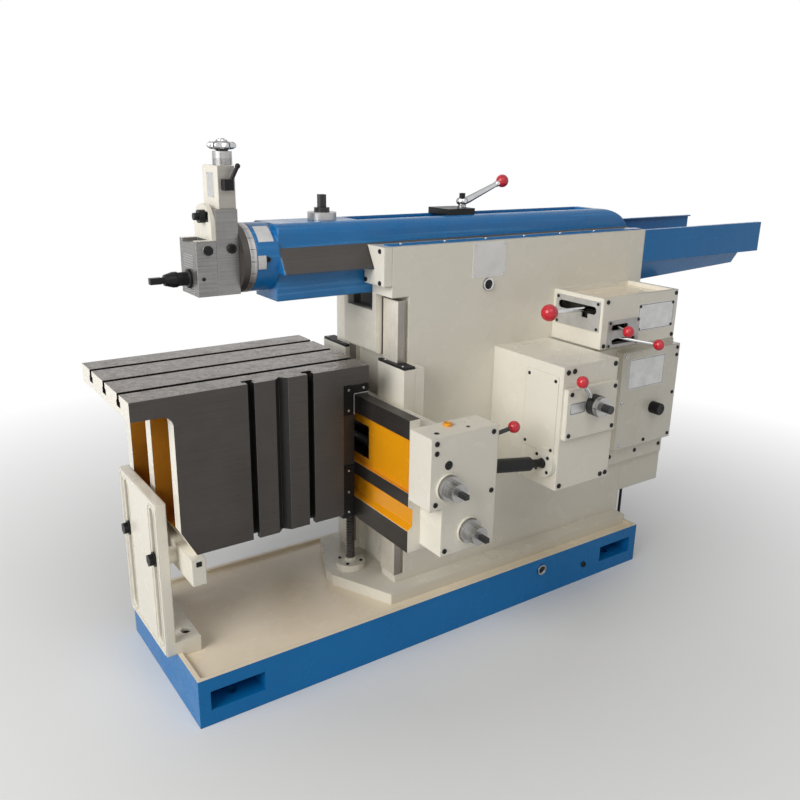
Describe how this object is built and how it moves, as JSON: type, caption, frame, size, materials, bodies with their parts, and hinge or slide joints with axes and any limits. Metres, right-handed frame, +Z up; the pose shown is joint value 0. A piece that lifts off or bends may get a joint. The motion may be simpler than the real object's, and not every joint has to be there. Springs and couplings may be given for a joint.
{
  "type": "metal shaper",
  "caption": "Horizontal metal shaper: a dovetailed ram with a swivelling tool head over a slotted box table on a crossrail that rises on column ways, with crank drive and feed boxes.",
  "frame": {"origin": "middle of the base's underside, on the ground", "axes": "+Z up, +X from the tool head to the rear along the ram, -Y towards the operator's controls"},
  "size_m": [2.3921, 1.0422, 1.445],
  "materials": {
    "cream_paint": "semi-gloss enamel",
    "blue_paint": "gloss enamel",
    "machined_iron": "planed and scraped, oiled",
    "raw_iron": "machined, oiled",
    "bright_steel": "turned",
    "chrome": "polished",
    "black_oxide": "black oxide",
    "black_rubber": "matte"
  },
  "bodies": {
    "frame": {"base": "blue_paint", "column": "cream_paint", "ram_way_caps": "cream_paint", "ram_gib": "raw_iron", "rear_guard": "blue_paint", "rear_housing": "cream_paint", "motor": "blue_paint", "belt_guard": "blue_paint", "drive_belts": "black_rubber", "feed_box": "cream_paint", "feed_box_cover": "cream_paint", "speed_box": "cream_paint", "lever_plates": "bright_steel", "gear_plate": "cream_paint", "gear_cover": "cream_paint", "sight_glasses": "chrome", "oil_pipe": "black_rubber", "support_bracket": "cream_paint", "elevating_screw": "bright_steel", "screw_flange": "bright_steel", "rocker_pin": "bright_steel"},
    "motor_rotor": {"motor_pulley": "raw_iron"},
    "pinion": {"pinion_shaft": "bright_steel"},
    "bull_gear": {"bull_gear": "raw_iron"},
    "rocker": {"rocker_arm": "raw_iron"},
    "crank_block": {"slide_block": "bright_steel"},
    "ram": {"ram": "blue_paint", "ram_link": "raw_iron", "clamp_block": "black_oxide"},
    "clamp_lever": {"clamp_lever": "chrome"},
    "position_shaft": {"position_shaft": "black_oxide"},
    "swivel": {"swivel_head": "machined_iron"},
    "tool_slide": {"tool_slide": "machined_iron", "slide_housing": "cream_paint", "apron_bolt": "black_oxide"},
    "downfeed": {"downfeed_screw": "bright_steel", "handwheel": "chrome"},
    "slide_lock": {"slide_lock": "black_oxide"},
    "apron": {"apron": "cream_paint", "clapper_pin": "black_oxide"},
    "clapper": {"clapper": "machined_iron", "tool_post": "black_oxide"},
    "knee": {"crossrail": "cream_paint", "way_keepers": "cream_paint", "inner_screw": "bright_steel", "cross_gearbox": "cream_paint"},
    "cross_screw": {"cross_screw": "bright_steel"},
    "elevation_shaft": {"elevation_shaft": "bright_steel"},
    "reverse_lever": {"reverse_lever": "black_oxide"},
    "feed_sleeve": {"feed_sleeve": "black_oxide"},
    "feed_rod": {"feed_rod": "black_oxide"},
    "table": {"table": "machined_iron"},
    "support_bar": {"support_bar": "cream_paint", "support_bolts": "black_oxide"},
    "feed_dial": {"feed_dial": "black_oxide"},
    "feed_lever": {"feed_lever": "chrome"},
    "speed_lever_upper": {"speed_lever_upper": "chrome"},
    "speed_lever_lower": {"speed_lever_lower": "chrome"},
    "clutch_lever": {"clutch_lever": "chrome"},
    "cover_knob": {"cover_knob": "black_oxide"}
  },
  "joints": [
    {"name": "ram_slide", "type": "slide", "parent": "frame", "child": "ram", "axis": [1, 0, 0], "range_m": [-0.38, 0.25]},
    {"name": "rocker_swing", "type": "hinge", "parent": "frame", "child": "rocker", "pos_m": [0.355, 0, 0.24], "axis": [0, 1, 0], "range_deg": [-29.34, 19.47]},
    {"name": "crank_block_slide", "type": "slide", "parent": "rocker", "child": "crank_block", "axis": [0.0861, 0, 0.9963], "range_m": [-0.32, 0.005]},
    {"name": "bull_gear_spin", "type": "hinge", "parent": "frame", "child": "bull_gear", "pos_m": [0.355, 0, 0.64], "axis": [0, 1, 0], "continuous": true},
    {"name": "pinion_spin", "type": "hinge", "parent": "frame", "child": "pinion", "pos_m": [0.60872, 0, 0.73235], "axis": [0, 1, 0], "continuous": true},
    {"name": "motor_spin", "type": "hinge", "parent": "frame", "child": "motor_rotor", "pos_m": [0.925, 0, 0.36], "axis": [0, 1, 0], "continuous": true},
    {"name": "clamp_turn", "type": "hinge", "parent": "ram", "child": "clamp_lever", "pos_m": [0.175, 0, 1.27], "axis": [0, 0, 1], "range_deg": [-60, 60]},
    {"name": "position_turn", "type": "hinge", "parent": "ram", "child": "position_shaft", "pos_m": [-0.306, 0, 1.26], "axis": [0, 0, 1], "continuous": true},
    {"name": "head_swivel", "type": "hinge", "parent": "ram", "child": "swivel", "pos_m": [-0.54, 0, 1.153], "axis": [1, 0, 0], "range_deg": [-60, 60]},
    {"name": "tool_feed", "type": "slide", "parent": "swivel", "child": "tool_slide", "axis": [0, 0, 1], "range_m": [-0.1, 0.02]},
    {"name": "downfeed_turn", "type": "hinge", "parent": "tool_slide", "child": "downfeed", "pos_m": [-0.583, 0, 1.4], "axis": [0, 0, 1], "range_deg": [-7200.5, 1440.5]},
    {"name": "lock_turn", "type": "hinge", "parent": "tool_slide", "child": "slide_lock", "pos_m": [-0.597, -0.06, 1.338], "axis": [0, 1, 0], "range_deg": [-40, 60]},
    {"name": "apron_swing", "type": "hinge", "parent": "tool_slide", "child": "apron", "pos_m": [-0.64, 0, 1.159], "axis": [1, 0, 0], "range_deg": [-8, 8]},
    {"name": "clapper_lift", "type": "hinge", "parent": "apron", "child": "clapper", "pos_m": [-0.6541, 0, 1.183], "axis": [0, 1, 0], "range_deg": [0, 25]},
    {"name": "knee_elevation", "type": "slide", "parent": "frame", "child": "knee", "axis": [0, 0, 1], "range_m": [-0.17, 0.12]},
    {"name": "table_cross", "type": "slide", "parent": "knee", "child": "table", "axis": [0, 1, 0], "range_m": [-0.17, 0.27]},
    {"name": "cross_screw_turn", "type": "hinge", "parent": "knee", "child": "cross_screw", "pos_m": [-0.203, 0, 0.602], "axis": [0, 1, 0], "range_deg": [-10200.5, 16200.5]},
    {"name": "elevation_turn", "type": "hinge", "parent": "knee", "child": "elevation_shaft", "pos_m": [-0.129, -0.4, 0.462], "axis": [0, 1, 0], "range_deg": [-15300.5, 10800.5]},
    {"name": "reverse_turn", "type": "hinge", "parent": "knee", "child": "reverse_lever", "pos_m": [-0.039, -0.412, 0.69], "axis": [0, 0, 1], "range_deg": [-25, 25]},
    {"name": "sleeve_tilt", "type": "hinge", "parent": "knee", "child": "feed_sleeve", "pos_m": [-0.039, -0.412, 0.605], "axis": [0, 1, 0], "range_deg": [-41.12, 29.17]},
    {"name": "rod_tilt", "type": "hinge", "parent": "frame", "child": "feed_rod", "pos_m": [0.175, -0.412, 0.57], "axis": [0, 1, 0], "range_deg": [-41.12, 29.17]},
    {"name": "bar_lift", "type": "slide", "parent": "frame", "child": "support_bar", "axis": [0, 0, 1], "range_m": [-0.17, 0.12]},
    {"name": "feed_dial_turn", "type": "hinge", "parent": "frame", "child": "feed_dial", "pos_m": [0.297, -0.5, 0.745], "axis": [0, 1, 0], "continuous": true},
    {"name": "feed_lever_turn", "type": "hinge", "parent": "frame", "child": "feed_lever", "pos_m": [0.297, -0.486, 0.745], "axis": [0, 1, 0], "range_deg": [-30, 30]},
    {"name": "upper_speed_shift", "type": "hinge", "parent": "frame", "child": "speed_lever_upper", "pos_m": [0.4915, -0.338, 0.93], "axis": [0, 0, 1], "range_deg": [-30, 35]},
    {"name": "lower_speed_shift", "type": "hinge", "parent": "frame", "child": "speed_lever_lower", "pos_m": [0.504, -0.338, 0.889], "axis": [0, 0, 1], "range_deg": [-75, 0]},
    {"name": "clutch_shift", "type": "hinge", "parent": "frame", "child": "clutch_lever", "pos_m": [0.575, -0.3, 0.972], "axis": [0, 0, 1], "range_deg": [-20, 4]},
    {"name": "cover_knob_turn", "type": "hinge", "parent": "frame", "child": "cover_knob", "pos_m": [0.9, -0.25, 0.56], "axis": [0, 1, 0], "continuous": true}
  ],
  "couplings": [
    {"joint": "rocker_swing", "follows": "ram_slide", "rad_per_m": 1.3245},
    {"joint": "pinion_spin", "follows": "bull_gear_spin", "ratio": -5},
    {"joint": "motor_spin", "follows": "bull_gear_spin", "ratio": -12},
    {"joint": "downfeed_turn", "follows": "tool_feed", "rad_per_m": 1256.6},
    {"joint": "cross_screw_turn", "follows": "table_cross", "rad_per_m": 1047.2},
    {"joint": "elevation_turn", "follows": "knee_elevation", "rad_per_m": 1570.8},
    {"joint": "sleeve_tilt", "follows": "knee_elevation", "rad_per_m": 4.17},
    {"joint": "rod_tilt", "follows": "knee_elevation", "rad_per_m": 4.17},
    {"joint": "bar_lift", "follows": "knee_elevation", "ratio": 1}
  ]
}
